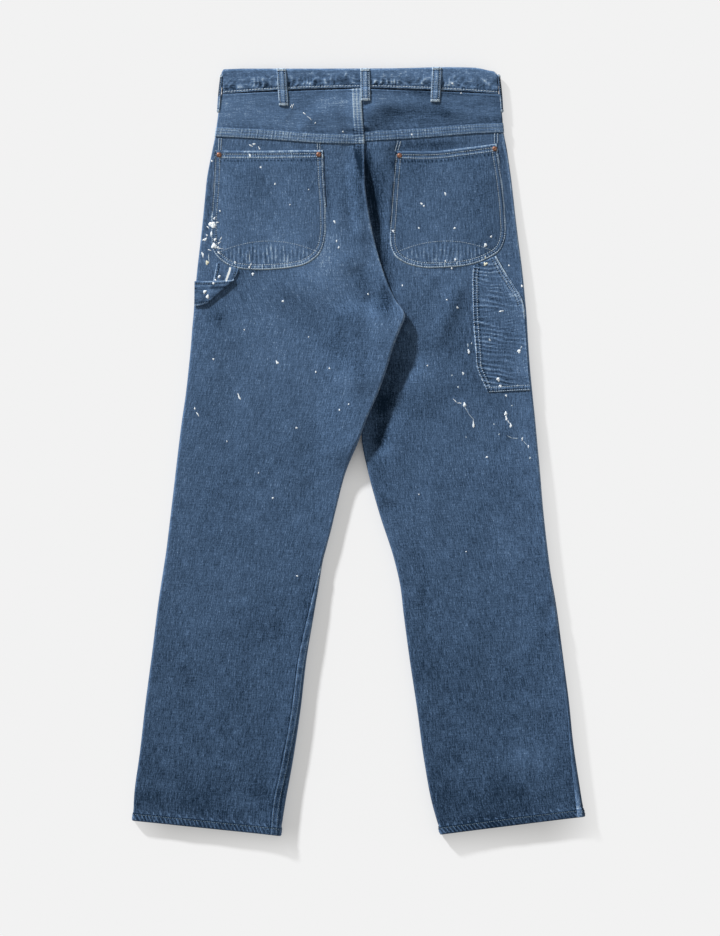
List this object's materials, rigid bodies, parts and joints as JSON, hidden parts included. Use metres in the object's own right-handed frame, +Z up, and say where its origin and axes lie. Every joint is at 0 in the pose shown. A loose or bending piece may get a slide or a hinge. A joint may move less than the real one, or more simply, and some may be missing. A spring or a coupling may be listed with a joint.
{
  "type": "paint spattered dungarees",
  "caption": "Worn blue denim work trousers laid flat back side up, with seat pockets, a thigh tool pocket, a slanting hammer loop and paint spatter.",
  "frame": {"origin": "on the surface that the trousers lie on, under the middle of their bounding box", "axes": "+Y along the legs towards the waist, +X to the wearer's right, +Z up through the laid cloth, from the front to the back of the garment"},
  "size_m": [0.6329, 1.0742, 0.0184],
  "materials": {
    "denim": "worn mid blue twill",
    "denim_light": "worn lighter blue twill",
    "denim_dark": "unfaded blue twill",
    "copper": "dull copper",
    "button_brass": "dull brass"
  },
  "bodies": {
    "root": {"front_left": "denim", "front_right": "denim", "back_left": "denim", "back_right": "denim", "tool_pocket": "denim", "hammer_loop": "denim", "belt_loop_back_left": "denim", "belt_loop_back_centre": "denim", "belt_loop_back_right": "denim", "belt_loop_front_left": "denim", "belt_loop_front_right": "denim", "belt_loop_side_left": "denim", "belt_loop_side_right": "denim", "yoke_left": "denim_light", "yoke_right": "denim_light", "waistband": "denim_light", "pocket_left": "denim_light", "pocket_right": "denim_light", "fly_shield": "denim_dark", "rivet_left_outer": "copper", "rivet_left_inner": "copper", "rivet_right_inner": "copper", "rivet_right_outer": "copper", "waist_button": "button_brass"}
  },
  "joints": []
}
